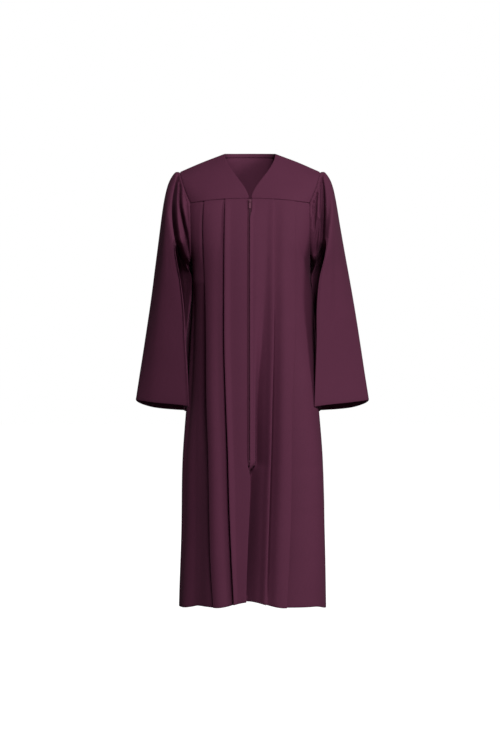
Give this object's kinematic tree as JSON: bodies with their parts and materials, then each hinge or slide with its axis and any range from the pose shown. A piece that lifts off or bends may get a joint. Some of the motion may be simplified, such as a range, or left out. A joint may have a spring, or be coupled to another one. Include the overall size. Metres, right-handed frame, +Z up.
{
  "type": "choir robe",
  "caption": "Plum choir robe with a V neck, plain yoke, pressed front pleats, centre zip and wide set-in bell sleeves, hanging as worn.",
  "frame": {"origin": "between the two neck points of the shoulder seams, where the wearer's shoulders carry the robe", "axes": "+Z up along the wearer, -Y out of the robe's front, +X to the wearer's left"},
  "size_m": [0.596, 0.3146, 1.1562],
  "materials": {
    "robe_cloth": "plum polyester twill, matte with a faint sheen",
    "zip_tape": "plum woven tape",
    "zip_coil": "plum nylon coil",
    "zip_metal": "plum lacquered die-cast metal"
  },
  "bodies": {
    "robe": {"yoke_front_left": "robe_cloth", "yoke_front_right": "robe_cloth", "yoke_back": "robe_cloth", "panel_front_left": "robe_cloth", "panel_front_right": "robe_cloth", "panel_back": "robe_cloth", "sleeve_left": "robe_cloth", "sleeve_right": "robe_cloth", "zip_tape_left": "zip_tape", "zip_tape_right": "zip_tape", "zip_coil": "zip_coil", "zip_bottom_stop": "zip_metal", "zip_slider": "zip_metal"},
    "pull_tab": {"zip_pull_tab": "zip_metal"}
  },
  "joints": [
    {"name": "pull_tab_swing", "type": "hinge", "parent": "robe", "child": "pull_tab", "pos_m": [0, -0.09991, -0.12796], "axis": [-1, 0, 0], "range_deg": [0, 150]}
  ]
}
